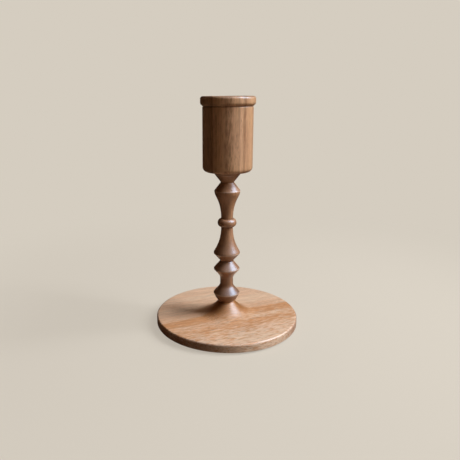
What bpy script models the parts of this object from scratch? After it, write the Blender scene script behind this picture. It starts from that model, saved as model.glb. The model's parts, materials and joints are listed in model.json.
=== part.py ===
"""Turned candle holder: round foot, slender spindle and cylindrical candle cup.

Units are metres and +Z is up. The origin is on the turning axis, in the plane that the felt pad
stands on. Every wooden piece is a turned outline of (radius, height) points swept about the axis.
Outline heights are measured from the underside of the wooden foot.
"""

import math

import bmesh
import bpy
from mathutils import Matrix, Vector
from mathutils.geometry import interpolate_bezier

MM = 0.001
GAP = 0.3 * MM

# Overall
TOTAL_HEIGHT = 189.4 * MM
FELT_THICKNESS = 1.2 * MM
FELT_RADIUS = 56.0 * MM
FOOT_Z = FELT_THICKNESS + GAP
WOOD_TOP = TOTAL_HEIGHT - FOOT_Z

# Foot: a thin plate that rises into a concave flare
PLATE_RADIUS = 60.0 * MM
PLATE_THICKNESS = 6.9 * MM
PLATE_TOP_ROUND = 1.5 * MM
PLATE_BOTTOM_ROUND = 0.6 * MM
FLARE_RADIUS = 27.0 * MM
JOINT_RADIUS = 6.6 * MM
FOOT_JOINT = 18.0 * MM

# Spindle
NECK_RADIUS = 5.3 * MM
SLIM_RADIUS = 4.85 * MM
WAIST_RADIUS = 5.45 * MM
WAIST_ROUND = 6.0 * MM
RIDGE_RADIUS = 11.2 * MM
TOP_RIDGE_RADIUS = 10.6 * MM
RIDGE_ROUND = 1.2 * MM
NECK_ROUND = 0.6 * MM
LOW_BEAD = 25.5 * MM
TUCK_RADIUS = 9.3 * MM
TUCK_HEIGHT = 21.3 * MM
TUCK_ROUND = 5.0 * MM
WAIST_LOW = 32.2 * MM
WAIST_HIGH = 40.4 * MM
MID_BEAD = 47.1 * MM
MID_NECK = 54.2 * MM
VASE_BEAD = 60.9 * MM
RING_CENTRE = 87.0 * MM
RING_RADIUS = 7.8 * MM
RING_HALF_HEIGHT = 3.4 * MM
TOP_BEAD = 113.8 * MM
TOP_NECK = 120.8 * MM
COLLAR_RADIUS = 10.3 * MM
COLLAR_HEIGHT = 1.7 * MM
TENON_RADIUS = 5.0 * MM
TENON_LENGTH = 12.0 * MM

# Candle cup
CUP_BOTTOM = 128.9 * MM
CUP_RADIUS = 20.0 * MM
CUP_FLOOR_RADIUS = 16.0 * MM
CUP_FLOOR_RISE = 1.0 * MM
CUP_CORNER_ROUND = 4.8 * MM
RIM_RADIUS = 21.7 * MM
RIM_HEIGHT = 7.2 * MM
RIM_TAPER = 1.4 * MM
RIM_TOP_ROUND = 2.0 * MM
RIM_LOW_ROUND = 2.6 * MM

# Candle liner, for a 22 mm dinner candle
LINER_BORE_RADIUS = 11.2 * MM
LINER_WALL = 0.7 * MM
LINER_DEPTH = 25.0 * MM
FLANGE_RADIUS = 15.0 * MM
FLANGE_THICKNESS = 0.8 * MM
FLANGE_DROP = 0.1 * MM
BORE_SLACK = GAP

# Wood screw, 4 mm by 35 mm
SCREW_LENGTH = 35.0 * MM
SCREW_RADIUS = 2.0 * MM
SCREW_TIP_LENGTH = 6.0 * MM
SCREW_HEAD_RADIUS = 3.8 * MM
SCREW_HEAD_RIM = 0.4 * MM
SCREW_HEAD_HEIGHT = 2.4 * MM
SCREW_RECESS = 0.8 * MM
SCREW_SLACK = GAP
DRIVE_HALF_LENGTH = 2.2 * MM
DRIVE_HALF_WIDTH = 0.5 * MM
DRIVE_DEPTH = 1.6 * MM

FOOT_SEGMENTS = 72
SPINDLE_SEGMENTS = 36
CUP_SEGMENTS = 56
LINER_SEGMENTS = 40
SCREW_SEGMENTS = 20
SHARP_ANGLE = math.radians(35.0)


def material(name, colour, roughness, metallic=0.0):
    """A Principled material with one base colour."""
    finish = bpy.data.materials.new(name)
    finish.use_nodes = True
    shader = finish.node_tree.nodes["Principled BSDF"]
    shader.inputs["Base Color"].default_value = (*colour, 1.0)
    shader.inputs["Roughness"].default_value = roughness
    shader.inputs["Metallic"].default_value = metallic
    return finish


def rounded(corners, steps=3):
    """Outline through (radius, height, rounding) corners, each rounding made as a tangent arc."""
    outline = []
    for index, (radius, height, rounding) in enumerate(corners):
        here = Vector((radius, height))
        if rounding == 0.0 or index in (0, len(corners) - 1):
            outline.append(here)
            continue
        before = (Vector(corners[index - 1][:2]) - here).normalized()
        after = (Vector(corners[index + 1][:2]) - here).normalized()
        half_angle = before.angle(after) / 2.0
        centre = here + (before + after).normalized() * (rounding / math.sin(half_angle))
        start = here + before * (rounding / math.tan(half_angle)) - centre
        end = here + after * (rounding / math.tan(half_angle)) - centre
        for step in range(steps + 1):
            outline.append(centre + start.slerp(end, step / steps) * rounding)
    return outline


def curved(start, start_handle, end_handle, end, points):
    """Outline points along a Bezier curve, without its two end points."""
    knots = [Vector(point) for point in (start, start_handle, end_handle, end)]
    return list(interpolate_bezier(*knots, points + 2))[1:-1]


def turned(name, outline, segments, finish, bottom, closed=False):
    """A piece turned about Z. The outline starts and ends on the axis unless it is a closed ring.

    The object's origin is on the axis at the height named bottom.
    """
    shell = bmesh.new()
    points = [shell.verts.new((radius, 0.0, height - bottom)) for radius, height in outline]
    edges = [shell.edges.new(pair) for pair in zip(points, points[1:])]
    if closed:
        edges.append(shell.edges.new((points[-1], points[0])))
    bmesh.ops.spin(
        shell,
        geom=points + edges,
        cent=(0.0, 0.0, 0.0),
        axis=(0.0, 0.0, 1.0),
        angle=math.tau,
        steps=segments,
        use_merge=True,
    )
    bmesh.ops.remove_doubles(shell, verts=shell.verts, dist=0.001 * MM)
    bmesh.ops.recalc_face_normals(shell, faces=shell.faces)
    mesh = bpy.data.meshes.new(name)
    shell.to_mesh(mesh)
    shell.free()
    mesh.shade_smooth()
    mesh.set_sharp_from_angle(angle=SHARP_ANGLE)
    mesh.materials.append(finish)
    piece = bpy.data.objects.new(name, mesh)
    piece.location.z = FOOT_Z + bottom
    bpy.context.collection.objects.link(piece)
    return piece


def make_base():
    """Foot plate and flare, with a countersunk screw hole along the axis."""
    hole = SCREW_RADIUS + SCREW_SLACK
    well = SCREW_HEAD_RADIUS + SCREW_SLACK
    joint = FOOT_JOINT - GAP / 2.0
    outline = rounded([
        (well, 0.0, 0.0),
        (PLATE_RADIUS, 0.0, PLATE_BOTTOM_ROUND),
        (PLATE_RADIUS, PLATE_THICKNESS, PLATE_TOP_ROUND),
        (FLARE_RADIUS, PLATE_THICKNESS, 0.0),
    ])
    outline += curved(
        (FLARE_RADIUS, PLATE_THICKNESS),
        (FLARE_RADIUS - 11.3 * MM, PLATE_THICKNESS),
        (JOINT_RADIUS + 4.6 * MM, joint - 4.6 * MM),
        (JOINT_RADIUS, joint),
        points=8,
    )
    sink_top = SCREW_RECESS + SCREW_HEAD_HEIGHT + SCREW_SLACK
    outline += rounded([
        (JOINT_RADIUS, joint, 0.0),
        (hole, joint, 0.0),
        (hole, sink_top, 0.0),
        (well, sink_top - (SCREW_HEAD_HEIGHT - SCREW_HEAD_RIM), 0.0),
    ])
    wood = material("foot_wood", (0.62, 0.42, 0.27), 0.45)
    return turned("base", outline, FOOT_SEGMENTS, wood, bottom=0.0, closed=True)


def ring_outline(points=7):
    """Half-round ring on the slim part of the spindle, from its upper to its lower edge."""
    swell = RING_RADIUS - SLIM_RADIUS
    outline = []
    for index in range(1, points + 1):
        angle = math.pi * index / (points + 1)
        radius = SLIM_RADIUS + swell * math.sin(angle)
        outline.append(Vector((radius, RING_CENTRE + RING_HALF_HEIGHT * math.cos(angle))))
    return outline


def make_stem():
    """Spindle from its tenon down to its foot, with the pilot hole for the screw."""
    collar_top = CUP_BOTTOM - GAP
    collar_bottom = collar_top - COLLAR_HEIGHT
    trumpet_top = (TOP_RIDGE_RADIUS - 0.25 * MM, TOP_BEAD - 1.8 * MM)
    ring_top = (SLIM_RADIUS, RING_CENTRE + RING_HALF_HEIGHT)
    ring_bottom = (SLIM_RADIUS, RING_CENTRE - RING_HALF_HEIGHT)
    vase_bottom = (RIDGE_RADIUS - 0.5 * MM, VASE_BEAD + 1.3 * MM)
    foot = FOOT_JOINT + GAP / 2.0
    pilot_radius = SCREW_RADIUS + SCREW_SLACK
    pilot_top = SCREW_RECESS + SCREW_LENGTH + SCREW_SLACK

    outline = rounded([
        (0.0, collar_top + TENON_LENGTH, 0.0),
        (TENON_RADIUS, collar_top + TENON_LENGTH, 0.0),
        (TENON_RADIUS, collar_top, 0.0),
        (COLLAR_RADIUS, collar_top, 0.0),
        (COLLAR_RADIUS, collar_bottom, 0.4 * MM),
        (NECK_RADIUS, TOP_NECK, NECK_ROUND),
        (TOP_RIDGE_RADIUS, TOP_BEAD, 0.8 * MM),
        (*trumpet_top, 0.0),
    ])
    outline += curved(
        trumpet_top,
        (trumpet_top[0] - 0.5 * MM, TOP_BEAD - 5.0 * MM),
        (SLIM_RADIUS + 0.1 * MM, ring_top[1] + 13.9 * MM),
        ring_top,
        points=8,
    )
    outline.append(Vector(ring_top))
    outline += ring_outline()
    outline.append(Vector(ring_bottom))
    outline += curved(
        ring_bottom,
        (SLIM_RADIUS + 0.05 * MM, ring_bottom[1] - 10.4 * MM),
        (RIDGE_RADIUS - 3.8 * MM, VASE_BEAD + 7.2 * MM),
        vase_bottom,
        points=8,
    )
    outline += rounded([
        (*vase_bottom, 0.0),
        (RIDGE_RADIUS - 0.1 * MM, VASE_BEAD, RIDGE_ROUND * 0.7),
        (NECK_RADIUS, MID_NECK, NECK_ROUND),
        (RIDGE_RADIUS, MID_BEAD, RIDGE_ROUND),
        (WAIST_RADIUS, WAIST_HIGH, WAIST_ROUND),
        (WAIST_RADIUS, WAIST_LOW, WAIST_ROUND),
        (RIDGE_RADIUS, LOW_BEAD, RIDGE_ROUND),
        (TUCK_RADIUS, TUCK_HEIGHT, TUCK_ROUND),
        (JOINT_RADIUS, foot, 0.0),
        (pilot_radius, foot, 0.0),
        (pilot_radius, pilot_top - SCREW_TIP_LENGTH, 0.0),
        (0.0, pilot_top, 0.0),
    ])
    wood = material("stem_wood", (0.24, 0.12, 0.07), 0.4)
    return turned("stem", outline, SPINDLE_SEGMENTS, wood, bottom=FOOT_JOINT)


def make_candle_cup():
    """Cylindrical cup: tenon hole below, rim band outside, stepped bore for the liner above."""
    tenon_hole = TENON_RADIUS + GAP
    tenon_hole_top = CUP_BOTTOM + TENON_LENGTH
    rebate_radius = FLANGE_RADIUS + GAP
    rebate_floor = WOOD_TOP - FLANGE_DROP - FLANGE_THICKNESS - GAP
    bore_radius = LINER_BORE_RADIUS + LINER_WALL + BORE_SLACK
    bore_floor = WOOD_TOP - FLANGE_DROP - LINER_DEPTH - LINER_WALL - GAP
    rim_bottom = WOOD_TOP - RIM_HEIGHT
    outline = rounded([
        (0.0, tenon_hole_top, 0.0),
        (tenon_hole, tenon_hole_top, 0.0),
        (tenon_hole, CUP_BOTTOM, 0.0),
        (CUP_FLOOR_RADIUS, CUP_BOTTOM + CUP_FLOOR_RISE * 0.4, 0.0),
        (CUP_RADIUS, CUP_BOTTOM + CUP_FLOOR_RISE, CUP_CORNER_ROUND * 0.8),
        (CUP_RADIUS, rim_bottom, 0.0),
        (RIM_RADIUS, rim_bottom + RIM_TAPER, RIM_LOW_ROUND),
        (RIM_RADIUS, WOOD_TOP, RIM_TOP_ROUND),
        (rebate_radius, WOOD_TOP, 0.0),
        (rebate_radius, rebate_floor, 0.0),
        (bore_radius, rebate_floor, 0.0),
        (bore_radius, bore_floor, 0.0),
        (0.0, bore_floor, 0.0),
    ])
    wood = material("cup_wood", (0.36, 0.21, 0.12), 0.4)
    return turned("candle_cup", outline, CUP_SEGMENTS, wood, bottom=CUP_BOTTOM)


def make_candle_insert():
    """Spun brass liner: a straight cup with a flat flange."""
    flange_top = WOOD_TOP - FLANGE_DROP
    flange_bottom = flange_top - FLANGE_THICKNESS
    floor = flange_top - LINER_DEPTH
    outside = LINER_BORE_RADIUS + LINER_WALL
    outline = rounded([
        (0.0, floor - LINER_WALL, 0.0),
        (outside, floor - LINER_WALL, 0.6 * MM),
        (outside, flange_bottom, 0.0),
        (FLANGE_RADIUS, flange_bottom, 0.0),
        (FLANGE_RADIUS, flange_top, 0.2 * MM),
        (LINER_BORE_RADIUS, flange_top, 0.6 * MM),
        (LINER_BORE_RADIUS, floor, 0.0),
        (0.0, floor, 0.0),
    ], steps=2)
    brass = material("liner_brass", (0.72, 0.53, 0.25), 0.3, metallic=1.0)
    return turned("candle_insert", outline, LINER_SEGMENTS, brass, bottom=floor - LINER_WALL)


def box_object(name, half_x, half_y, top, height):
    """A plain box under the height named top, centred on the axis."""
    block = bmesh.new()
    size = Matrix.Diagonal((2.0 * half_x, 2.0 * half_y, height, 1.0))
    place = Matrix.Translation((0.0, 0.0, top - height / 2.0))
    bmesh.ops.create_cube(block, size=1.0, matrix=place @ size)
    mesh = bpy.data.meshes.new(name)
    block.to_mesh(mesh)
    block.free()
    box = bpy.data.objects.new(name, mesh)
    bpy.context.collection.objects.link(box)
    return box


def make_base_screw():
    """Countersunk wood screw, head down, with a cross recess in its head."""
    face = SCREW_RECESS
    tip = face + SCREW_LENGTH
    outline = rounded([
        (0.0, face, 0.0),
        (SCREW_HEAD_RADIUS, face, 0.0),
        (SCREW_HEAD_RADIUS, face + SCREW_HEAD_RIM, 0.0),
        (SCREW_RADIUS, face + SCREW_HEAD_HEIGHT, 0.0),
        (SCREW_RADIUS, tip - SCREW_TIP_LENGTH, 0.0),
        (0.0, tip, 0.0),
    ])
    steel = material("screw_steel", (0.62, 0.60, 0.56), 0.35, metallic=1.0)
    screw = turned("base_screw", outline, SCREW_SEGMENTS, steel, bottom=face)
    for name, half_x, half_y in (
        ("drive_cutter_x", DRIVE_HALF_LENGTH, DRIVE_HALF_WIDTH),
        ("drive_cutter_y", DRIVE_HALF_WIDTH, DRIVE_HALF_LENGTH),
    ):
        cutter = box_object(name, half_x, half_y, top=DRIVE_DEPTH, height=DRIVE_DEPTH * 2.0)
        cutter.parent = screw
        cutter.hide_render = True
        cutter.display_type = "WIRE"
        cut = screw.modifiers.new(name, "BOOLEAN")
        cut.operation = "DIFFERENCE"
        cut.solver = "EXACT"
        cut.object = cutter
    return screw


def make_felt_pad():
    """Felt disc that the holder stands on."""
    underside = -FOOT_Z
    outline = rounded([
        (0.0, underside, 0.0),
        (FELT_RADIUS, underside, 0.0),
        (FELT_RADIUS, underside + FELT_THICKNESS, 0.0),
        (0.0, underside + FELT_THICKNESS, 0.0),
    ])
    felt = material("pad_felt", (0.07, 0.09, 0.06), 0.95)
    return turned("felt_pad", outline, FOOT_SEGMENTS, felt, bottom=underside)


def main():
    for leftover in list(bpy.data.objects):
        bpy.data.objects.remove(leftover, do_unlink=True)
    holder = bpy.data.objects.new("candle_holder", None)
    bpy.context.collection.objects.link(holder)
    pieces = (
        make_base(),
        make_stem(),
        make_candle_cup(),
        make_candle_insert(),
        make_base_screw(),
        make_felt_pad(),
    )
    for piece in pieces:
        piece.parent = holder


main()
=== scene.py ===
"""Looks of the turned candle holder: fine turned meshes, wood, brass, steel and felt, in a plain studio.

Lengths are metres. Outline heights are measured from the underside of the wooden foot, as in the CAD
model, and the overall sizes are read from the frame.
"""

import json
import math

import bmesh
import bpy
from mathutils import Matrix, Vector, noise
from mathutils.geometry import interpolate_bezier

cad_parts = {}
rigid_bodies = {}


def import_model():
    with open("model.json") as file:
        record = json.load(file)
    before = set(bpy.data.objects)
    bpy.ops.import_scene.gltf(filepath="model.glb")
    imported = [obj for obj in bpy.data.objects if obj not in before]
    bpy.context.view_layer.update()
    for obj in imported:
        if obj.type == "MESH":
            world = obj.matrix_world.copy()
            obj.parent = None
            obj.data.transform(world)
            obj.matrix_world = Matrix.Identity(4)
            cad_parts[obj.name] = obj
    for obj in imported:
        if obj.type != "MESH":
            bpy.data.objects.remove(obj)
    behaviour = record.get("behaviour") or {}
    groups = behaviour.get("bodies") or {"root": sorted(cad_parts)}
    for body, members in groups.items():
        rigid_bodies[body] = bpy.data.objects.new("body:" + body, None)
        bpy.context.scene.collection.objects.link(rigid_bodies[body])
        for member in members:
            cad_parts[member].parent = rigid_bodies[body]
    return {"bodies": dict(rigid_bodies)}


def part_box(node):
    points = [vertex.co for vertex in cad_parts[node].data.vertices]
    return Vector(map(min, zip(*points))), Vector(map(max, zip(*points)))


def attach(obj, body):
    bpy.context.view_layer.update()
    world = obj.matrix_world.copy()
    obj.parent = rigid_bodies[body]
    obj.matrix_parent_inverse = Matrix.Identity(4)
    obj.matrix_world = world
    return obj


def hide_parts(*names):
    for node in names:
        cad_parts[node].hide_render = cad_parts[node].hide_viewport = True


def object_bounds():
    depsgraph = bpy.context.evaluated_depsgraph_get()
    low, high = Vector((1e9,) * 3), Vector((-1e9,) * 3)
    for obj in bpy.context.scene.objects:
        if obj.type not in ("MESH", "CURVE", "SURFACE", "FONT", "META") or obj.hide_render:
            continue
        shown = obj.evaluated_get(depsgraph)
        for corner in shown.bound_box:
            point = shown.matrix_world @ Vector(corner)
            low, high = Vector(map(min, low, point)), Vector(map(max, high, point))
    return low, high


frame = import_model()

MM = 0.001
BODY = next(iter(frame["bodies"]))
CAD_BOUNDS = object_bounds()

# Sizes from the frame
BASE_LOW, BASE_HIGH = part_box("base")
STEM_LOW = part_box("stem")[0]
CUP_LOW, CUP_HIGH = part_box("candle_cup")
LINER_LOW, LINER_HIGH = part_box("candle_insert")
SCREW_LOW, SCREW_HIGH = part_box("base_screw")
FELT_LOW, FELT_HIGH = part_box("felt_pad")
FOOT_Z = BASE_LOW.z
PLATE_RADIUS = BASE_HIGH.x
FOOT_JOINT = (BASE_HIGH.z + STEM_LOW.z) / 2.0 - FOOT_Z
CUP_BOTTOM = CUP_LOW.z - FOOT_Z
WOOD_TOP = CUP_HIGH.z - FOOT_Z
RIM_RADIUS = CUP_HIGH.x
FLANGE_TOP = LINER_HIGH.z - FOOT_Z
FLANGE_RADIUS = LINER_HIGH.x
LINER_BOTTOM = LINER_LOW.z - FOOT_Z
FELT_RADIUS = FELT_HIGH.x

# Gaps between pieces: a glued or pressed seam, and the play round the liner and the screw
SEAM = 0.03 * MM
PLAY = 0.3 * MM

# Foot
PLATE_THICKNESS = 6.9 * MM
PLATE_TOP_ROUND = 1.5 * MM
PLATE_BOTTOM_ROUND = 0.6 * MM
FLARE_RADIUS = 27.0 * MM
JOINT_RADIUS = 6.6 * MM
FOOT_SEGMENTS = 256

# Bezier handles of the flare: level on the plate, at 45 degrees under the spindle
FLARE_RUN = 11.3 * MM
FLARE_RISE = 4.6 * MM

# Spindle
NECK_RADIUS = 5.3 * MM
SLIM_RADIUS = 4.85 * MM
WAIST_RADIUS = 5.45 * MM
WAIST_ROUND = 6.0 * MM
RIDGE_RADIUS = 11.2 * MM
TOP_RIDGE_RADIUS = 10.6 * MM
RIDGE_ROUND = 1.2 * MM
TOP_RIDGE_ROUND = 0.8 * MM
NECK_ROUND = 0.6 * MM
LOW_BEAD = 25.5 * MM
TUCK_RADIUS = 9.3 * MM
TUCK_HEIGHT = 21.3 * MM
TUCK_ROUND = 5.0 * MM
WAIST_LOW = 32.2 * MM
WAIST_HIGH = 40.4 * MM
MID_BEAD = 47.1 * MM
MID_NECK = 54.2 * MM
VASE_BEAD = 60.9 * MM
VASE_RIDGE_RADIUS = RIDGE_RADIUS - 0.1 * MM
VASE_RIDGE_ROUND = 0.84 * MM
RING_CENTRE = 87.0 * MM
RING_RADIUS = 7.8 * MM
RING_HALF_HEIGHT = 3.4 * MM
TOP_BEAD = 113.8 * MM
TOP_NECK = 120.8 * MM
COLLAR_RADIUS = 10.3 * MM
COLLAR_HEIGHT = 1.7 * MM
COLLAR_ROUND = 0.4 * MM
TENON_RADIUS = 5.0 * MM
TENON_LENGTH = 12.0 * MM
SPINDLE_SEGMENTS = 144
SPINDLE_LONGEST_RUN = 0.8 * MM

# Long curves of the spindle, above and below its ring: ends and Bezier handles as (radius, height)
TRUMPET_TOP = (TOP_RIDGE_RADIUS - 0.25 * MM, TOP_BEAD - 1.8 * MM)
TRUMPET_TOP_HANDLE = (TRUMPET_TOP[0] - 0.5 * MM, TOP_BEAD - 5.0 * MM)
RING_TOP = (SLIM_RADIUS, RING_CENTRE + RING_HALF_HEIGHT)
RING_TOP_HANDLE = (SLIM_RADIUS + 0.1 * MM, RING_TOP[1] + 13.9 * MM)
RING_BOTTOM = (SLIM_RADIUS, RING_CENTRE - RING_HALF_HEIGHT)
RING_BOTTOM_HANDLE = (SLIM_RADIUS + 0.05 * MM, RING_BOTTOM[1] - 10.4 * MM)
VASE_BOTTOM = (RIDGE_RADIUS - 0.5 * MM, VASE_BEAD + 1.3 * MM)
VASE_BOTTOM_HANDLE = (RIDGE_RADIUS - 3.8 * MM, VASE_BEAD + 7.2 * MM)

# Candle cup and liner
CUP_RADIUS = 20.0 * MM
CUP_FLOOR_RADIUS = 16.0 * MM
CUP_FLOOR_RISE = 0.4 * MM
CUP_CORNER_RISE = 1.0 * MM
CUP_CORNER_ROUND = 3.84 * MM
RIM_HEIGHT = 7.2 * MM
RIM_TAPER = 1.4 * MM
RIM_TOP_ROUND = 2.0 * MM
RIM_LOW_ROUND = 2.6 * MM
GROOVE_DEPTH = 0.45 * MM
GROOVE_WIDTH = 1.0 * MM
GROOVE_FLOOR = 0.4 * MM
GROOVE_FLOOR_ROUND = 0.15 * MM
GROOVE_EDGE_ROUND = 0.2 * MM
REBATE_EDGE_ROUND = 0.2 * MM
CUP_SEGMENTS = 224
LINER_BORE_RADIUS = 11.2 * MM
LINER_WALL = 0.7 * MM
LINER_OUTER_ROUND = 0.6 * MM
LINER_INNER_ROUND = 0.5 * MM
LINER_MOUTH_ROUND = 0.8 * MM
FLANGE_THICKNESS = 0.8 * MM
FLANGE_LOW_ROUND = 0.15 * MM
FLANGE_TOP_ROUND = 0.3 * MM
LINER_SEGMENTS = 128

# Screw
SCREW_RADIUS = 2.0 * MM
SCREW_HEAD_RADIUS = 3.8 * MM
SCREW_HEAD_RIM = 0.4 * MM
SCREW_HEAD_HEIGHT = 2.4 * MM
SCREW_HEAD_BEVEL = 0.08 * MM
SCREW_TIP_LENGTH = 6.0 * MM
SCREW_TIP_SHARE = 0.04
SHANK_RADIUS = SCREW_RADIUS * 0.82
SHANK_LENGTH = 9.0 * MM
THREAD_PITCH = 1.6 * MM
THREAD_DEPTH = 0.5 * MM
THREAD_STEEPNESS = 1.6
SCREW_SEGMENTS = 40
ROWS_A_TURN = 10

# Felt: how far its edge draws in, frays and bulges, how high its face lifts, the size of the lumps in
# both, and how sharply the fraying falls off inwards
FELT_INSET = 0.15 * MM
FELT_FRAY = 0.12 * MM
FELT_BULGE = 0.1 * MM
FELT_LIFT = 0.05 * MM
FRAY_SIZE = 1.5 * MM
LIFT_SIZE = 2.0 * MM
FRAY_FALL = 8
FELT_RINGS = 56
FELT_SEGMENTS = 256

# Colour through the growth layers: (millimetres across them, share of the deep colour)
# On the foot the layers from about 4 to 25 mm are deepened to paint a darker, warmer shade over the left of
# the plate, where the spindle's shadow falls
FOOT_LAYERS_AND_SHADE_TINT = [
    (-60.0, 0.12), (-46.0, 0.22), (-36.0, 0.45), (-32.5, 0.74), (-26.0, 0.78), (-22.0, 0.45),
    (-18.0, 0.5), (-14.5, 0.92), (-6.0, 1.0), (-2.5, 0.4), (4.5, 0.4), (9.0, 0.22), (14.0, 0.26),
    (17.0, 0.18), (25.0, 0.34), (33.0, 0.1), (42.0, 0.25), (60.0, 0.1),
]
STEM_LAYERS = [
    (-12.0, 0.5), (-7.0, 0.65), (-4.0, 0.2), (-1.5, 0.3), (0.0, 0.55), (2.0, 0.5), (4.5, 0.3),
    (6.5, 0.55), (8.5, 0.25), (12.0, 0.4),
]
# On the cup the deep share is high over most of the left half, so that half is darker
CUP_LAYERS = [
    (-22.0, 0.45), (-19.0, 0.7), (-17.5, 0.5), (-16.4, 0.74), (-15.0, 0.78), (-13.0, 0.96),
    (-11.5, 0.46), (-10.0, 0.46), (-8.5, 0.22), (-6.0, 0.0), (-4.0, 0.0), (-2.3, 0.48), (1.2, 0.3),
    (4.2, 0.0), (7.5, 0.34), (9.2, 0.0), (11.9, 0.68), (13.6, 0.5), (15.6, 0.52), (17.9, 0.26),
    (19.8, 0.44), (22.0, 0.5),
]

# Strength of the short strokes across the layers
FOOT_MARKS = [(-60.0, 1.6), (-36.0, 1.4), (-20.0, 0.9), (-3.0, 0.6), (3.0, 0.3), (60.0, 0.25)]
STEM_MARKS = [(-12.0, 0.3), (12.0, 0.3)]
CUP_MARKS = [(-22.0, 0.25), (-7.0, 0.3), (-5.0, 0.5), (-2.0, 0.8), (1.5, 0.8), (3.5, 0.35), (22.0, 0.25)]

# Share of stain over the wood, by height above the table in millimetres. The spindle is darker towards its
# foot, and its band just under the top neck is painted shade, where the cup shades the top bead.
FLARE_STAIN = [(6.0, 0.0), (7.5, 0.0), (10.5, 0.45), (14.0, 0.85), (24.0, 0.85)]
SPINDLE_DARKENING_AND_NECK_SHADE = [
    (18.0, 0.84), (24.0, 0.82), (28.0, 0.66), (33.0, 0.5), (41.0, 0.5), (45.0, 0.5), (48.0, 0.32),
    (53.0, 0.34), (56.0, 0.42), (60.0, 0.36), (63.0, 0.26), (75.0, 0.14), (84.0, 0.08), (95.0, 0.0),
    # 114 to 121.5 mm: painted shade just under the top neck
    (114.0, 0.0), (117.0, 0.12), (120.0, 0.35), (121.5, 0.0), (140.0, 0.0),
]

# Bare wood where the ridges are worn, which also paints the highlight line they catch, and what is left of
# the colour where end grain is soaked with oil
WORN_WOOD_AND_RIDGE_HIGHLIGHT = (0.86, 0.64, 0.5)
SOAKED_GRAIN = (0.18, 0.06, 0.02)

# Wood: how far the layers wander, in millimetres, and how strongly streaks, lines, strokes and pores show
SLOW_WANDER = 4.0
QUICK_WANDER = 3.5
STREAK_SHARE = 0.5
LINE_SHARE = 0.5
STROKE_SHARE = 2.6
PORE_SHARE = 0.5
PORE_SHADE = 0.3

# Studio: linear colour of the lit paper, its albedo, how much of it takes shadow near the object, and
# from which distance to which that fades out. The floor bends up into the wall from its last ring.
PAPER_COLOUR = (0.665, 0.610, 0.527)
PAPER_ALBEDO = (0.72, 0.62, 0.51)
SHADOW_SHARE = 0.3
SHADOW_NEAR = 0.12
SHADOW_FAR = 0.42
FLOOR_RINGS = (0.0, 0.2, 0.5, 1.1)
FLOOR_BEND = 0.5
WALL_TOP = 1.4
CARD_RADIUS = 0.6
CARD_DEPTH = 1.0 * MM
CARD_ALBEDO = (0.25, 0.19, 0.14)
LIGHT_DISTANCE = 1.6
AIR_COLOUR = (1.0, 0.7, 0.42)
AIR_STRENGTH = 0.01

# Camera: lens and full-frame sensor in millimetres
LENS = 39.2
SENSOR_WIDTH = 36.0
CAMERA_PLACE = (-0.0223, -0.4009, 0.1923)
CAMERA_PITCH = math.radians(15.37)
CAMERA_ROLL = math.radians(-0.4)
CAMERA_SHIFT = 0.065
CLIP_START = 0.01


# ---------------------------------------------------------------- outlines and meshes

def rounded(corners, steps=8):
    """Outline through (radius, height, rounding) corners, each rounding made as a tangent arc."""
    outline = []
    for index, (radius, height, rounding) in enumerate(corners):
        here = Vector((radius, height))
        if rounding == 0.0 or index in (0, len(corners) - 1):
            outline.append(here)
            continue
        before = (Vector(corners[index - 1][:2]) - here).normalized()
        after = (Vector(corners[index + 1][:2]) - here).normalized()
        half_angle = before.angle(after) / 2.0
        centre = here + (before + after).normalized() * (rounding / math.sin(half_angle))
        start = here + before * (rounding / math.tan(half_angle)) - centre
        end = here + after * (rounding / math.tan(half_angle)) - centre
        for step in range(steps + 1):
            outline.append(centre + start.slerp(end, step / steps) * rounding)
    return outline


def curved(start, start_handle, end_handle, end, points=30):
    """Outline points along a Bezier curve, without its two end points."""
    knots = [Vector(point) for point in (start, start_handle, end_handle, end)]
    return list(interpolate_bezier(*knots, points + 2))[1:-1]


def refined(outline, longest=1.2 * MM):
    """The outline with its long straight runs cut into shorter ones."""
    fine = [outline[0]]
    for before, after in zip(outline, outline[1:]):
        pieces = max(1, math.ceil((after - before).length / longest))
        for piece in range(1, pieces + 1):
            fine.append(before.lerp(after, piece / pieces))
    return fine


def relief(outline, reach=1.6 * MM, full=0.5 * MM):
    """How far each outline point stands out (1) or lies in a hollow (-1) against what is within reach.
    A point counts in full when it stands out by the length full."""
    values = []
    for here in outline:
        total = 0.0
        weight = 0.0
        for before, after in zip(outline, outline[1:]):
            middle = (before + after) / 2.0
            length = (after - before).length
            share = length * max(0.0, 1.0 - (middle - here).length / reach)
            total += share * middle.x
            weight += share
        stands = (here.x - total / weight) / full if weight else 0.0
        values.append(max(-1.0, min(1.0, stands)))
    return values


def spin_round(shell, points, closed, segments, merge):
    """Joins the points to an outline, spins it once round Z and merges what meets."""
    edges = [shell.edges.new(pair) for pair in zip(points, points[1:])]
    if closed:
        edges.append(shell.edges.new((points[-1], points[0])))
    bmesh.ops.spin(
        shell,
        geom=points + edges,
        cent=(0.0, 0.0, 0.0),
        axis=(0.0, 0.0, 1.0),
        angle=math.tau,
        steps=segments,
        use_merge=True,
    )
    bmesh.ops.remove_doubles(shell, verts=shell.verts, dist=merge)
    bmesh.ops.recalc_face_normals(shell, faces=shell.faces)


def in_scene(name, shell):
    """Turns a bmesh into a mesh object in the scene."""
    mesh = bpy.data.meshes.new(name)
    shell.to_mesh(mesh)
    shell.free()
    made = bpy.data.objects.new(name, mesh)
    bpy.context.scene.collection.objects.link(made)
    return made


def turned(name, outline, segments, finish, node):
    """A piece turned about Z that stands for a CAD node. Its outline starts and ends on the axis, or
    closes on its own start."""
    shell = bmesh.new()
    stands = shell.verts.layers.float.new("relief")
    closed = (outline[0] - outline[-1]).length < SEAM
    ring = outline[:-1] if closed else outline
    points = []
    for point, value in zip(ring, relief(outline)):
        vertex = shell.verts.new((point.x, 0.0, point.y + FOOT_Z))
        vertex[stands] = value
        points.append(vertex)
    spin_round(shell, points, closed, segments, merge=0.001 * MM)
    return finished(name, shell, finish, node)


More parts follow.
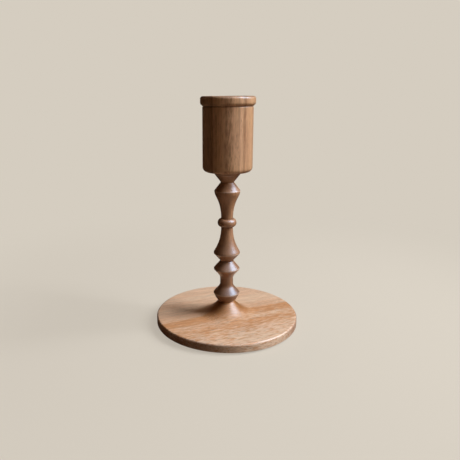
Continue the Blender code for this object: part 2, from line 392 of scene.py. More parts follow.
def finished(name, shell, finish, node, sharp=math.radians(32.0)):
    """Turns a bmesh into a smooth-shaded piece that rides on the frame in place of its CAD node."""
    piece = in_scene(name, shell)
    piece.data.shade_smooth()
    piece.data.set_sharp_from_angle(angle=sharp)
    piece.data.materials.append(finish)
    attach(piece, BODY)
    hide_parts(node)
    return piece


# ---------------------------------------------------------------- materials

class Shader:
    """Short forms for building one Principled material out of nodes."""

    def __init__(self, name, **constants):
        self.material = bpy.data.materials.new(name)
        self.material.use_nodes = True
        self.tree = self.material.node_tree
        self.principled = self.tree.nodes["Principled BSDF"]
        for socket, value in constants.items():
            self.principled.inputs[socket.replace("_", " ")].default_value = value

    def node(self, kind, **settings):
        made = self.tree.nodes.new(kind)
        for setting, value in settings.items():
            setattr(made, setting, value)
        return made

    def feed(self, socket, value):
        """Links an output to a socket, or sets the socket to a plain value."""
        if isinstance(value, bpy.types.NodeSocket):
            self.tree.links.new(value, socket)
        else:
            socket.default_value = value

    def math(self, operation, first, second=0.0, third=0.0, clamp=False):
        made = self.node("ShaderNodeMath", operation=operation, use_clamp=clamp)
        for socket, value in zip(made.inputs, (first, second, third)):
            self.feed(socket, value)
        return made.outputs[0]

    def mapping(self, vector, scale=(1.0, 1.0, 1.0), rotation=(0.0, 0.0, 0.0)):
        made = self.node("ShaderNodeMapping")
        self.feed(made.inputs["Vector"], vector)
        made.inputs["Scale"].default_value = scale
        made.inputs["Rotation"].default_value = rotation
        return made.outputs[0]

    def noise(self, vector, scale=1.0, detail=2.0, roughness=0.5, distortion=0.0):
        made = self.node("ShaderNodeTexNoise")
        self.feed(made.inputs["Vector"], vector)
        made.inputs["Scale"].default_value = scale
        made.inputs["Detail"].default_value = detail
        made.inputs["Roughness"].default_value = roughness
        made.inputs["Distortion"].default_value = distortion
        return made.outputs[0]

    def separate(self, vector):
        made = self.node("ShaderNodeSeparateXYZ")
        self.feed(made.inputs[0], vector)
        return made.outputs

    def combine(self, x, y, z):
        made = self.node("ShaderNodeCombineXYZ")
        for socket, value in zip(made.inputs, (x, y, z)):
            self.feed(socket, value)
        return made.outputs[0]

    def drawn_out(self, place, share):
        """Coordinates with the third one scaled down, for a pattern that runs long that way."""
        x, y, z = place
        return self.combine(x, y, self.math("MULTIPLY", z, share))

    def from_axis(self, x, y):
        """Distance from the Z axis."""
        return self.math("SQRT", self.math("ADD", self.math("MULTIPLY", x, x), self.math("MULTIPLY", y, y)))

    def vary(self, value, pattern, amount):
        """Moves a value up and down by a pattern that runs from 0 to 1."""
        return self.math("MULTIPLY_ADD", self.math("SUBTRACT", pattern, 0.5), amount, value)

    def darken(self, colour, share):
        """The colour times a plain value."""
        return self.mix(1.0, colour, self.combine(share, share, share), blend="MULTIPLY")

    def span(self, value, low, high, to_low=0.0, to_high=1.0, smooth=True):
        """Maps value from low..high to to_low..to_high, clamped."""
        made = self.node("ShaderNodeMapRange", clamp=True)
        made.interpolation_type = "SMOOTHSTEP" if smooth else "LINEAR"
        for socket, number in zip(made.inputs, (value, low, high, to_low, to_high)):
            self.feed(socket, number)
        return made.outputs[0]

    def mix(self, factor, first, second, blend="MIX"):
        """Mixes two colours, each an output or an RGB triple."""
        made = self.node("ShaderNodeMix", data_type="RGBA", blend_type=blend)
        self.feed(made.inputs[0], factor)
        for socket, value in zip((made.inputs[6], made.inputs[7]), (first, second)):
            self.feed(socket, value if isinstance(value, bpy.types.NodeSocket) else (*value, 1.0))
        return made.outputs[2]

    def profile(self, value, stops):
        """Looks value up in a list of (place, result) stops, eased from one to the next."""
        first = stops[0][0]
        reach = stops[-1][0] - first
        ramp = self.node("ShaderNodeValToRGB")
        ramp.color_ramp.interpolation = "EASE"
        elements = ramp.color_ramp.elements
        while len(elements) < len(stops):
            elements.new(1.0)
        for element, (place, result) in zip(elements, stops):
            element.position = (place - first) / reach
            element.color = (result, result, result, 1.0)
        self.feed(ramp.inputs[0], self.math("MULTIPLY_ADD", value, 1.0 / reach, -first / reach))
        return self.separate(ramp.outputs[0])[0]

    def attribute(self, name):
        return self.node("ShaderNodeAttribute", attribute_name=name).outputs["Fac"]

    def bump(self, height, distance, under=None):
        """Relief of this depth in metres, over the relief under it."""
        made = self.node("ShaderNodeBump")
        made.inputs["Strength"].default_value = 1.0
        made.inputs["Distance"].default_value = distance
        self.feed(made.inputs["Height"], height)
        if under is not None:
            self.feed(made.inputs["Normal"], under)
        return made.outputs[0]

    def millimetres(self):
        """The piece's own coordinates in millimetres."""
        place = self.node("ShaderNodeTexCoord").outputs["Object"]
        return self.mapping(place, scale=(1000.0, 1000.0, 1000.0))


def grain_turn(heading):
    """Rotation that lays level grain, heading degrees from +X towards +Y, along the figure's Z, and
    the level direction across it along the figure's X."""
    level = Matrix.Rotation(math.radians(-heading), 3, "Z")
    upright = Matrix(((0.0, 1.0, 0.0), (0.0, 0.0, 1.0), (1.0, 0.0, 0.0)))
    return (upright @ level).to_euler("XYZ")


def growth_depth(shader, grain, tilt, wander):
    """Depth through the growth layers in millimetres, wandering slowly along the grain."""
    x, y = grain[:2]
    slow = shader.noise(shader.drawn_out(grain, 0.5), scale=0.02, detail=2.0)
    wave = shader.noise(shader.drawn_out(grain, 0.3), scale=0.16, detail=3.0)
    depth = shader.math("MULTIPLY_ADD", y, tilt, x)
    depth = shader.vary(depth, slow, SLOW_WANDER * wander)
    return shader.vary(depth, wave, QUICK_WANDER * wander)


def figure(shader, grain, depth, seed, layers, strength):
    """Share of the deep colour: broad layers, on the foot partly painted shade, then the streaks, lines and
    short strokes in them.
    """
    sheet = (depth, seed, grain[2])
    streak = shader.noise(shader.drawn_out(sheet, 0.01), scale=0.3, detail=2.0)
    line = shader.noise(shader.drawn_out(sheet, 0.03), scale=1.1, detail=2.0)
    dash = shader.noise(shader.drawn_out(grain, 0.22), scale=0.8, detail=3.0)
    tint = shader.profile(depth, layers)
    tint = shader.vary(tint, streak, STREAK_SHARE)
    tint = shader.vary(tint, line, LINE_SHARE)
    stroke = shader.math("MULTIPLY", shader.math("SUBTRACT", dash, 0.5), STROKE_SHARE)
    return shader.math("MULTIPLY_ADD", stroke, strength, tint, clamp=True)


def pores(shader, grain, depth, seed, strength):
    """Open pores, long along the grain, crowded in some layers and where the strokes are strong."""
    cells = shader.node("ShaderNodeTexVoronoi", feature="F1", distance="EUCLIDEAN")
    shader.feed(cells.inputs["Vector"], shader.drawn_out(grain, 0.2))
    cells.inputs["Scale"].default_value = 0.95
    pore = shader.span(cells.outputs["Distance"], 0.12, 0.3, 1.0, 0.0)
    crowd = shader.noise(shader.drawn_out((depth, seed, grain[2]), 0.05), scale=0.3, detail=1.0)
    pore = shader.math("MULTIPLY", pore, shader.span(crowd, 0.35, 0.6))
    return shader.math("MULTIPLY", pore, shader.span(strength, 0.0, 0.6, 0.35, 1.0))


def soak(shader, colour, turn, end_grain):
    """Darkens the colour where the surface cuts across the grain."""
    facing = shader.node("ShaderNodeTexCoord").outputs["Normal"]
    along = shader.separate(shader.mapping(facing, rotation=turn))[2]
    soaked = shader.math("MULTIPLY", shader.span(shader.math("ABSOLUTE", along), 0.1, 0.75), end_grain)
    return shader.mix(soaked, colour, shader.mix(1.0, colour, SOAKED_GRAIN, blend="MULTIPLY"))


def painted_hollow_shade_and_ridge_wear(shader, colour, ridge_wear_and_highlight):
    """Darkens the colour in the grooves, where polish gathers, and paints their shade; pales it on worn
    ridges, painting their highlight.
    """
    stands = shader.attribute("relief")
    # Painted shade: darker where the outline lies in a hollow, together with the polish gathered there
    colour = shader.darken(colour, shader.span(stands, -0.75, -0.05, 0.55, 1.0))
    # Worn, paler wood on the ridges, strong enough to paint their highlight line too
    return shader.mix(shader.span(stands, 0.14, 0.36, 0.0, ridge_wear_and_highlight), colour, WORN_WOOD_AND_RIDGE_HIGHLIGHT)


def wood(name, pale, blush, deep, turn, layers, marks, seed, tilt=0.0, wander=1.0, end_grain=0.0,
         stain=None, stain_and_shade_heights=None, ridge_wear_and_highlight=0.1, roughness=0.42, polish=0.0, coat=0.25, specular=0.5):
    """Solid wood under a satin oil finish.

    The figure is worked out in three dimensions, in millimetres: X across the growth layers, Y along
    them, Z along the grain. The layers say how much of the deep colour each one has; on the foot some
    are deepened to paint a darker, warmer shade over the left of the plate, where the spindle's shadow
    falls. The marks say how strongly its short dark strokes show. End grain is darker by the share
    end_grain. The stain and shade heights say how much of the stain colour lies over the wood at each
    height: the flare's stain, and on the spindle a darkening towards its foot and painted shade just
    under its top neck. Polish says how much smoother it is there. Ridges are paler where worn, enough
    to paint their highlight line as well, and the hollows get painted shade.
    The patterns' scales are counted in waves a millimetre.
    """
    shader = Shader(name, Coat_Weight=coat, Coat_Roughness=0.3, Coat_IOR=1.5, Specular_IOR_Level=specular)
    raw = shader.millimetres()
    across, inward, height = shader.separate(raw)
    grain = tuple(shader.separate(shader.mapping(raw, rotation=turn)))
    depth = growth_depth(shader, grain, tilt, wander)
    strength = shader.profile(depth, marks)
    tint = figure(shader, grain, depth, seed, layers, strength)
    pore = pores(shader, grain, depth, seed, strength)
    patch = shader.noise(shader.drawn_out(grain, 0.35), scale=0.06, detail=2.0)
    strand = shader.noise(shader.drawn_out(grain, 0.08), scale=0.9, detail=3.0)
    fibre = shader.noise(shader.drawn_out(grain, 0.03), scale=4.0, detail=2.0)

    # Colour: layers (on the foot partly painted shade), stain (on the spindle partly painted shade),
    # fibres, pores, end grain, painted shade in the hollows, worn ridges with a painted highlight
    colour = shader.mix(shader.span(patch, 0.35, 0.65), pale, blush)
    colour = shader.mix(tint, colour, deep)
    # On the spindle this share is also painted shade just under the top neck
    stained = shader.profile(height, stain_and_shade_heights) if stain_and_shade_heights else 0.0
    if stain_and_shade_heights:
        colour = shader.mix(stained, colour, stain)
    shade = shader.math("MULTIPLY", shader.span(strand, 0.25, 0.75, 0.85, 1.15, smooth=False),
                        shader.span(fibre, 0.25, 0.75, 0.88, 1.12, smooth=False))
    colour = shader.darken(colour, shade)
    dirt = [channel * PORE_SHADE for channel in deep]
    colour = shader.mix(shader.math("MULTIPLY", pore, PORE_SHARE), colour, dirt)
    colour = soak(shader, colour, turn, end_grain)
    # Painted shade in the hollows, and worn wood with a painted highlight on the ridges
    colour = painted_hollow_shade_and_ridge_wear(shader, colour, ridge_wear_and_highlight)

    # Roughness: uneven across the fibres, dull in the pores, smoother where the stain is polished
    rough = shader.math("MULTIPLY_ADD", fibre, 0.12, roughness - 0.06)
    rough = shader.math("MULTIPLY_ADD", pore, 0.15, rough)
    rough = shader.math("MULTIPLY_ADD", stained, -polish, rough)

    # Relief: fibres, faint tool and sanding lines round the turning axis, and pores
    turning = shader.combine(shader.from_axis(across, inward), height, seed)
    tool = shader.noise(turning, scale=2.2, detail=3.0, roughness=0.6)
    bump = shader.bump(strand, 0.03 * MM)
    bump = shader.bump(fibre, 0.012 * MM, under=bump)
    bump = shader.bump(tool, 0.01 * MM, under=bump)
    bump = shader.bump(shader.math("SUBTRACT", 1.0, pore), 0.06 * MM, under=bump)

    shader.feed(shader.principled.inputs["Base Color"], colour)
    shader.feed(shader.principled.inputs["Roughness"], rough)
    shader.feed(shader.principled.inputs["Normal"], bump)
    return shader.material


def foot_wood():
    """Pale wood with level grain, stained where it rises to the spindle."""
    return wood(
        "foot_wood",
        pale=(0.82, 0.575, 0.40),
        blush=(0.80, 0.53, 0.365),
        deep=(0.62, 0.285, 0.125),
        turn=grain_turn(21.5),
        # Layers, partly painted shade over the left of the plate
        layers=FOOT_LAYERS_AND_SHADE_TINT,
        marks=FOOT_MARKS,
        seed=4.0,
        tilt=-0.35,
        end_grain=0.52,
        stain=(0.44, 0.185, 0.05),
        stain_and_shade_heights=FLARE_STAIN,
        roughness=0.48,
        polish=0.14,
        coat=0.2,
    )


def stem_wood():
    """Dark reddish wood with upright grain, shinier than the rest."""
    return wood(
        "stem_wood",
        pale=(0.49, 0.243, 0.125),
        blush=(0.47, 0.228, 0.116),
        deep=(0.33, 0.147, 0.062),
        turn=(0.0, 0.0, 0.0),
        layers=STEM_LAYERS,
        marks=STEM_MARKS,
        seed=11.0,
        # Darker towards the foot, and painted shade just under the top neck
        stain=(0.12, 0.05, 0.023),
        stain_and_shade_heights=SPINDLE_DARKENING_AND_NECK_SHADE,
        # Ridges worn paler, strongly enough to paint their highlight line
        ridge_wear_and_highlight=0.35,
        coat=0.6,
        specular=0.8,
    )


def cup_wood():
    """Brown wood with upright grain and broad dark layers."""
    return wood(
        "cup_wood",
        pale=(0.745, 0.415, 0.213),
        blush=(0.71, 0.39, 0.217),
        deep=(0.28, 0.118, 0.046),
        turn=(0.0, 0.0, 0.0),
        layers=CUP_LAYERS,
        marks=CUP_MARKS,
        seed=23.0,
        wander=0.3,
        end_grain=0.25,
        coat=0.5,
    )


def brass():
    """Spun brass: fine rings round the axis, a soft brown tarnish and small marks."""
    shader = Shader("liner_brass", Metallic=1.0)
    raw = shader.millimetres()
    across, inward, height = shader.separate(raw)
    radius = shader.from_axis(across, inward)
    spun = shader.noise(shader.combine(radius, height, 3.0), scale=6.0, detail=3.0, roughness=0.6)
    cloud = shader.noise(raw, scale=0.18, detail=4.0, roughness=0.6)
    marks = shader.noise(raw, scale=1.6, detail=5.0, roughness=0.7)
    age = shader.math("MULTIPLY_ADD", marks, 0.35, shader.math("MULTIPLY", cloud, 0.65))
    tarnish = shader.span(age, 0.42, 0.66)
    colour = shader.mix(tarnish, (0.86, 0.61, 0.27), (0.5, 0.29, 0.11))
    rough = shader.math("MULTIPLY_ADD", tarnish, 0.22, shader.span(spun, 0.3, 0.7, 0.2, 0.34))
    shader.feed(shader.principled.inputs["Base Color"], colour)
    shader.feed(shader.principled.inputs["Roughness"], rough)
    shader.feed(shader.principled.inputs["Normal"], shader.bump(spun, 0.02 * MM))
    return shader.material


def steel():
    """Zinc-plated steel with a cloudy, slightly yellow plating."""
    shader = Shader("screw_steel", Metallic=1.0)
    raw = shader.millimetres()
    cloud = shader.noise(raw, scale=0.9, detail=4.0, roughness=0.6)
    colour = shader.mix(shader.span(cloud, 0.35, 0.65), (0.62, 0.61, 0.57), (0.48, 0.46, 0.39))
    shader.feed(shader.principled.inputs["Base Color"], colour)
    shader.feed(shader.principled.inputs["Roughness"], shader.span(cloud, 0.3, 0.7, 0.25, 0.45))
    shader.feed(shader.principled.inputs["Normal"], shader.bump(cloud, 0.01 * MM))
    return shader.material


def felt_cloth():
    """Pressed wool felt: tangled fibres, small clouds of colour and a dusty sheen."""
    shader = Shader("pad_felt", Sheen_Weight=0.35, Sheen_Roughness=0.5, Roughness=0.95)
    raw = shader.millimetres()
    tangle = shader.noise(raw, scale=2.6, detail=6.0, roughness=0.75, distortion=1.8)
    cloud = shader.noise(raw, scale=0.12, detail=3.0)
    colour = shader.mix(shader.span(tangle, 0.3, 0.7), (0.035, 0.05, 0.032), (0.085, 0.115, 0.075))
    colour = shader.mix(shader.span(cloud, 0.35, 0.65, 0.0, 0.25), colour, (0.10, 0.12, 0.085))
    shader.feed(shader.principled.inputs["Base Color"], colour)
    shader.feed(shader.principled.inputs["Normal"], shader.bump(tangle, 0.25 * MM))
    return shader.material


# ---------------------------------------------------------------- pieces

def make_foot(finish):
    """Foot plate and flare, with the countersunk screw hole."""
    hole = SCREW_RADIUS + PLAY
    well = SCREW_HEAD_RADIUS + PLAY
    joint = FOOT_JOINT - SEAM / 2.0
    recess = SCREW_LOW.z - FOOT_Z
    sink_top = recess + SCREW_HEAD_HEIGHT + PLAY
    outline = rounded([
        (well, 0.0, 0.0),
        (PLATE_RADIUS, 0.0, PLATE_BOTTOM_ROUND),
        (PLATE_RADIUS, PLATE_THICKNESS, PLATE_TOP_ROUND),
        (FLARE_RADIUS, PLATE_THICKNESS, 0.0),
    ])
    outline += curved(
        (FLARE_RADIUS, PLATE_THICKNESS),
        (FLARE_RADIUS - FLARE_RUN, PLATE_THICKNESS),
        (JOINT_RADIUS + FLARE_RISE, joint - FLARE_RISE),
        (JOINT_RADIUS, joint),
    )
    outline += rounded([
        (JOINT_RADIUS, joint, 0.0),
        (hole, joint, 0.0),
        (hole, sink_top, 0.0),
        (well, sink_top - (SCREW_HEAD_HEIGHT - SCREW_HEAD_RIM), 0.0),
        (well, 0.0, 0.0),
    ])
    return turned("foot", refined(outline), FOOT_SEGMENTS, finish, "base")


def ring_outline(points=23):
    """Half-round ring on the slim part of the spindle, from its upper to its lower edge."""
    swell = RING_RADIUS - SLIM_RADIUS
    outline = []
    for index in range(1, points + 1):
        angle = math.pi * index / (points + 1)
        radius = SLIM_RADIUS + swell * math.sin(angle)
        outline.append(Vector((radius, RING_CENTRE + RING_HALF_HEIGHT * math.cos(angle))))
    return outline


def make_spindle(finish):
    """Spindle from its tenon down to its foot, with the pilot hole for the screw."""
    collar_top = CUP_BOTTOM - SEAM
    foot = FOOT_JOINT + SEAM / 2.0
    pilot_radius = SCREW_RADIUS + PLAY
    pilot_top = SCREW_HIGH.z - FOOT_Z + PLAY
    outline = rounded([
        (0.0, collar_top + TENON_LENGTH, 0.0),
        (TENON_RADIUS, collar_top + TENON_LENGTH, 0.0),
        (TENON_RADIUS, collar_top, 0.0),
        (COLLAR_RADIUS, collar_top, 0.0),
        (COLLAR_RADIUS, collar_top - COLLAR_HEIGHT, COLLAR_ROUND),
        (NECK_RADIUS, TOP_NECK, NECK_ROUND),
        (TOP_RIDGE_RADIUS, TOP_BEAD, TOP_RIDGE_ROUND),
        (*TRUMPET_TOP, 0.0),
    ])
    outline += curved(TRUMPET_TOP, TRUMPET_TOP_HANDLE, RING_TOP_HANDLE, RING_TOP)
    outline.append(Vector(RING_TOP))
    outline += ring_outline()
    outline.append(Vector(RING_BOTTOM))
    outline += curved(RING_BOTTOM, RING_BOTTOM_HANDLE, VASE_BOTTOM_HANDLE, VASE_BOTTOM)
    outline += rounded([
        (*VASE_BOTTOM, 0.0),
        (VASE_RIDGE_RADIUS, VASE_BEAD, VASE_RIDGE_ROUND),
        (NECK_RADIUS, MID_NECK, NECK_ROUND),
        (RIDGE_RADIUS, MID_BEAD, RIDGE_ROUND),
        (WAIST_RADIUS, WAIST_HIGH, WAIST_ROUND),
        (WAIST_RADIUS, WAIST_LOW, WAIST_ROUND),
        (RIDGE_RADIUS, LOW_BEAD, RIDGE_ROUND),
        (TUCK_RADIUS, TUCK_HEIGHT, TUCK_ROUND),
        (JOINT_RADIUS, foot, 0.0),
        (pilot_radius, foot, 0.0),
        (pilot_radius, pilot_top - SCREW_TIP_LENGTH, 0.0),
        (0.0, pilot_top, 0.0),
    ])
    outline = refined(outline, SPINDLE_LONGEST_RUN)
    return turned("spindle", outline, SPINDLE_SEGMENTS, finish, "stem")


def make_cup(finish):
    """Cylindrical cup: tenon hole below, rim band with a fine groove, stepped bore for the liner."""
    tenon_hole = TENON_RADIUS + SEAM
    tenon_hole_top = CUP_BOTTOM + TENON_LENGTH
    rebate_radius = FLANGE_RADIUS + PLAY
    rebate_floor = FLANGE_TOP - FLANGE_THICKNESS - SEAM
    bore_radius = LINER_BORE_RADIUS + LINER_WALL + PLAY
    bore_floor = LINER_BOTTOM - SEAM
    rim_bottom = WOOD_TOP - RIM_HEIGHT
    outline = rounded([
        (0.0, tenon_hole_top, 0.0),
        (tenon_hole, tenon_hole_top, 0.0),
        (tenon_hole, CUP_BOTTOM, 0.0),
        (CUP_FLOOR_RADIUS, CUP_BOTTOM + CUP_FLOOR_RISE, 0.0),
        (CUP_RADIUS, CUP_BOTTOM + CUP_CORNER_RISE, CUP_CORNER_ROUND),
        (CUP_RADIUS, rim_bottom - GROOVE_WIDTH, GROOVE_EDGE_ROUND),
        (CUP_RADIUS - GROOVE_DEPTH, rim_bottom - GROOVE_FLOOR, GROOVE_FLOOR_ROUND),
        (CUP_RADIUS, rim_bottom, 0.0),
        (RIM_RADIUS, rim_bottom + RIM_TAPER, RIM_LOW_ROUND),
        (RIM_RADIUS, WOOD_TOP, RIM_TOP_ROUND),
        (rebate_radius, WOOD_TOP, REBATE_EDGE_ROUND),
        (rebate_radius, rebate_floor, 0.0),
        (bore_radius, rebate_floor, 0.0),
        (bore_radius, bore_floor, 0.0),
        (0.0, bore_floor, 0.0),
    ])
    return turned("cup", refined(outline), CUP_SEGMENTS, finish, "candle_cup")


def make_liner(finish):
    """Brass liner with a flat flange and a rolled mouth."""
    flange_bottom = FLANGE_TOP - FLANGE_THICKNESS
    floor = LINER_BOTTOM + LINER_WALL
    outside = LINER_BORE_RADIUS + LINER_WALL
    outline = rounded([
        (0.0, LINER_BOTTOM, 0.0),
        (outside, LINER_BOTTOM, LINER_OUTER_ROUND),
        (outside, flange_bottom, 0.0),
        (FLANGE_RADIUS, flange_bottom, FLANGE_LOW_ROUND),
        (FLANGE_RADIUS, FLANGE_TOP, FLANGE_TOP_ROUND),
        (LINER_BORE_RADIUS, FLANGE_TOP, LINER_MOUTH_ROUND),
        (LINER_BORE_RADIUS, floor, LINER_INNER_ROUND),
        (0.0, floor, 0.0),
    ])
    return turned("liner", refined(outline), LINER_SEGMENTS, finish, "candle_insert")


def thread_radius(turns):
    """Radius along the thread's V section, for a position counted in turns."""
    off_crest = abs(turns - math.floor(turns) - 0.5) * 2.0
    return SCREW_RADIUS - THREAD_DEPTH * min(1.0, off_crest * THREAD_STEEPNESS)


def shank_radius(height, angle, thread_start):
    """Radius of the screw past its head: plain shank, then the thread, which tapers to the tip."""
    if height < thread_start:
        return SHANK_RADIUS
    taper = min(1.0, (SCREW_HIGH.z - height) / SCREW_TIP_LENGTH)
    fade = min(1.0, (height - thread_start) / THREAD_PITCH)
    thread = thread_radius(height / THREAD_PITCH - angle / math.tau)
    return (SHANK_RADIUS + (thread - SHANK_RADIUS) * fade) * max(taper, SCREW_TIP_SHARE)


def bridge(shell, lower, upper):
    """Faces between two rings with the same number of points."""
    for index in range(len(lower)):
        following = (index + 1) % len(lower)
        shell.faces.new((lower[index], lower[following], upper[following], upper[index]))


def make_screw(finish):
    """Countersunk screw with a real helical thread, a pointed tip and a cross recess."""
    low = SCREW_LOW.z
    neck = low + SCREW_HEAD_HEIGHT
    thread_start = neck + SHANK_LENGTH
    length = SCREW_HIGH.z - neck
    rows = math.ceil(length / THREAD_PITCH * ROWS_A_TURN)
    angles = [math.tau * index / SCREW_SEGMENTS for index in range(SCREW_SEGMENTS)]
    shell = bmesh.new()

    def circle(height, radii):
        """A ring of points with one radius for each angle."""
        ring = []
        for angle, radius in zip(angles, radii):
            ring.append(shell.verts.new((radius * math.cos(angle), radius * math.sin(angle), height)))
        return ring

    head = [SCREW_HEAD_RADIUS] * SCREW_SEGMENTS
    face = [SCREW_HEAD_RADIUS - SCREW_HEAD_BEVEL] * SCREW_SEGMENTS
    rings = [
        circle(low, face),
        circle(low + SCREW_HEAD_BEVEL, head),
        circle(low + SCREW_HEAD_RIM, head),
    ]
    for row in range(rows + 1):
        height = neck + length * row / rows
        rings.append(circle(height, [shank_radius(height, angle, thread_start) for angle in angles]))
    for lower, upper in zip(rings, rings[1:]):
        bridge(shell, lower, upper)
    shell.faces.new(rings[-1])
    shell.faces.new(list(reversed(rings[0])))
    bmesh.ops.recalc_face_normals(shell, faces=shell.faces)
    screw = finished("screw", shell, finish, "base_screw", sharp=math.radians(40.0))
    cut_cross(screw, low)
    return screw


def cut_cross(screw, face, half_length=2.2 * MM, half_width=0.5 * MM, depth=1.6 * MM, taper=0.45):
    """Cuts the tapered cross recess into the screw's face and removes the cutters."""
    for quarter in range(2):
        cutter = bmesh.new()
        bmesh.ops.create_cone(
            cutter,
            cap_ends=True,
            segments=4,
            radius1=math.sqrt(2.0),
            radius2=math.sqrt(2.0) * taper,
            depth=1.0,
            matrix=Matrix.Rotation(math.pi / 4.0, 4, "Z"),
        )
        size = Matrix.Diagonal((half_length, half_width, depth * 2.0, 1.0))
        turn = Matrix.Rotation(math.pi / 2.0 * quarter, 4, "Z")
        cutter.transform(Matrix.Translation((0.0, 0.0, face)) @ turn @ size)
        tool = in_scene("cross", cutter)
        cut = screw.modifiers.new("cross", "BOOLEAN")
        cut.operation = "DIFFERENCE"
        cut.object = tool
        bpy.context.view_layer.update()
        evaluated = screw.evaluated_get(bpy.context.evaluated_depsgraph_get())
        shaped = bpy.data.meshes.new_from_object(evaluated)
        screw.modifiers.clear()
        screw.data = shaped
        bpy.data.objects.remove(tool)


def lump(x, y, z, size, fading=0.8, finer=2.0, octaves=4):
    """Height of an uneven surface with lumps of about this size, from about -1 to 1."""
    return noise.fractal(Vector((x, y, z)) / size, fading, finer, octaves)


def felt_face(shell, height, side):
    """One face of the felt, uneven upwards (side 1) or downwards (side -1). Returns its outer ring."""
    rows = []
    for ring in range(1, FELT_RINGS + 1):
        row = []
        for index in range(FELT_SEGMENTS):
            angle = math.tau * index / FELT_SEGMENTS
            reach = FELT_RADIUS * ring / FELT_RINGS
            x = reach * math.cos(angle)
            y = reach * math.sin(angle)
            fray = FELT_FRAY * lump(x, y, height, FRAY_SIZE) * (ring / FELT_RINGS) ** FRAY_FALL
            lift = side * FELT_LIFT * abs(lump(x, y, height, LIFT_SIZE))
            scale = (reach - FELT_INSET + fray) / reach
            row.append(shell.verts.new((x * scale, y * scale, height + lift)))
        rows.append(row)
    centre = shell.verts.new((0.0, 0.0, height))
    for index in range(FELT_SEGMENTS):
        following = (index + 1) % FELT_SEGMENTS
        shell.faces.new((centre, rows[0][index], rows[0][following]))
        for inner, outer in zip(rows, rows[1:]):
            shell.faces.new((inner[index], outer[index], outer[following], inner[following]))
    return rows[-1]


def make_felt(finish):
    """Felt disc with a soft, slightly uneven face and edge."""
    shell = bmesh.new()
    bottom = felt_face(shell, FELT_LOW.z, side=1.0)
    top = felt_face(shell, FOOT_Z - SEAM, side=-1.0)
    middle = []
    for lower, upper in zip(bottom, top):
        here = (lower.co + upper.co) / 2.0
        outward = Vector((here.x, here.y, 0.0)).normalized()
        middle.append(shell.verts.new(here + outward * FELT_BULGE))
    bridge(shell, bottom, middle)
    bridge(shell, middle, top)
    bmesh.ops.recalc_face_normals(shell, faces=shell.faces)
    return finished("felt", shell, finish, "felt_pad", sharp=math.radians(80.0))


# ---------------------------------------------------------------- studio

def turned_backdrop(name, outline, around=96):
    """A part of the studio, turned about Z from an outline that starts on the axis."""
    shell = bmesh.new()
    points = [shell.verts.new((point.x, 0.0, point.y)) for point in outline]
    spin_round(shell, points, closed=False, segments=around, merge=0.01 * MM)
    piece = in_scene(name, shell)
    piece.data.shade_smooth()
    return piece


def make_floor(steps=16):
    """A pale floor that curves up all round into a pale wall.

    It takes soft shadows round the object and turns into an evenly lit backdrop further out.
    """
    outline = [Vector((radius, 0.0)) for radius in FLOOR_RINGS]
    for step in range(1, steps + 1):
        angle = math.pi / 2.0 * step / steps
        rise = FLOOR_BEND * (1.0 - math.cos(angle))
        outline.append(Vector((FLOOR_RINGS[-1] + FLOOR_BEND * math.sin(angle), rise)))
    outline.append(Vector((FLOOR_RINGS[-1] + FLOOR_BEND, WALL_TOP)))
    floor = turned_backdrop("studio", outline)
    floor.visible_diffuse = False
    floor.visible_glossy = False
    floor.visible_shadow = False

    paper = Shader("studio_paper", Roughness=0.9, Specular_IOR_Level=0.0)
    x, y = paper.separate(paper.node("ShaderNodeTexCoord").outputs["Object"])[:2]
    catch = paper.span(paper.from_axis(x, y), SHADOW_NEAR, SHADOW_FAR, SHADOW_SHARE, 0.0)
    paper.feed(paper.principled.inputs["Base Color"], paper.mix(catch, (0.0, 0.0, 0.0), PAPER_ALBEDO))
    paper.principled.inputs["Emission Color"].default_value = (*PAPER_COLOUR, 1.0)
    paper.feed(paper.principled.inputs["Emission Strength"], paper.math("SUBTRACT", 1.0, catch))
    floor.data.materials.append(paper.material)


def make_card():
    """A card just under the floor that throws light back up at the object."""
    card = turned_backdrop("bounce_card", [Vector((0.0, -CARD_DEPTH)), Vector((CARD_RADIUS, -CARD_DEPTH))])
    card.visible_camera = False
    card.visible_glossy = False
    card.visible_shadow = False
    face = Shader("bounce_card", Roughness=1.0, Specular_IOR_Level=0.0)
    face.principled.inputs["Base Color"].default_value = (*CARD_ALBEDO, 1.0)
    card.data.materials.append(face.material)


def area_light(name, azimuth, elevation, width, height, power, colour, diffuse=True, glossy=True):
    """A soft rectangular light, aimed at the object's middle.

    Azimuth is counted from the camera's side towards its right. A light can be left out of the matt
    reflections (diffuse) or of the shiny ones (glossy).
    """
    light = bpy.data.lights.new(name, "AREA")
    light.shape = "RECTANGLE"
    light.size = width
    light.size_y = height
    light.energy = power
    light.color = colour
    lamp = bpy.data.objects.new(name, light)
    lamp.visible_diffuse = diffuse
    lamp.visible_glossy = glossy
    bpy.context.scene.collection.objects.link(lamp)
    aim = Vector((0.0, 0.0, CAD_BOUNDS[1][2] / 2.0))
    turn = math.radians(azimuth)
    rise = math.radians(elevation)
    away = Vector((math.sin(turn) * math.cos(rise), -math.cos(turn) * math.cos(rise), math.sin(rise)))
    lamp.location = aim + away * LIGHT_DISTANCE
    lamp.rotation_euler = away.to_track_quat("Z", "Y").to_euler()


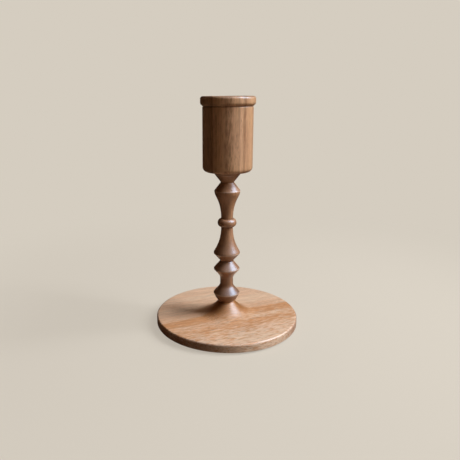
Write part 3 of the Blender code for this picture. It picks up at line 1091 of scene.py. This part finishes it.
def make_lights():
    """A window to the right, its cool gleam as a light of its own, and weak fills.

    The overhead gleam draws highlights on the upper sides. The fills come from the ceiling on the left,
    from the front right, and from low behind, for the side that faces away from the camera. Each line
    gives azimuth and elevation in degrees, width and height, watts, and colour.
    """
    area_light("window", 85.0, 38.0, 0.85, 1.0, 47.5, (0.83, 0.92, 1.0), glossy=False)
    area_light("window_gleam", 86.0, 45.0, 1.15, 1.2, 48.0, (0.48, 0.72, 1.0), diffuse=False)
    area_light("overhead_gleam", 40.0, 72.0, 1.6, 1.0, 7.0, (0.5, 0.7, 1.0), diffuse=False)
    area_light("ceiling_fill", -75.0, 70.0, 1.0, 1.0, 1.0, (1.0, 0.6, 0.33))
    area_light("front_fill", 35.0, 25.0, 1.0, 1.0, 1.8, (1.0, 0.72, 0.47), glossy=False)
    area_light("back_fill", 199.0, 5.0, 1.0, 0.4, 8.0, (1.0, 0.8, 0.62), glossy=False)


def make_air():
    """Very weak warm light from all round."""
    world = bpy.data.worlds.new("studio_air")
    world.use_nodes = True
    backdrop = world.node_tree.nodes["Background"]
    backdrop.inputs["Color"].default_value = (*AIR_COLOUR, 1.0)
    backdrop.inputs["Strength"].default_value = AIR_STRENGTH
    bpy.context.scene.world = world


def make_camera():
    """The camera, level with the rim and looking down at the foot. Its colours have no film curve."""
    lens = bpy.data.cameras.new("camera")
    lens.lens = LENS
    lens.sensor_width = SENSOR_WIDTH
    lens.shift_x = CAMERA_SHIFT
    lens.clip_start = CLIP_START
    camera = bpy.data.objects.new("camera", lens)
    camera.location = CAMERA_PLACE
    look = Matrix.Rotation(math.pi / 2.0 - CAMERA_PITCH, 3, "X") @ Matrix.Rotation(CAMERA_ROLL, 3, "Z")
    camera.rotation_euler = look.to_euler()
    bpy.context.scene.collection.objects.link(camera)
    bpy.context.scene.camera = camera
    bpy.context.scene.view_settings.view_transform = "Standard"


# ---------------------------------------------------------------- scene

make_camera()
make_floor()
make_card()
make_lights()
make_air()

make_foot(foot_wood())
make_spindle(stem_wood())
make_cup(cup_wood())
make_liner(brass())
make_screw(steel())
make_felt(felt_cloth())
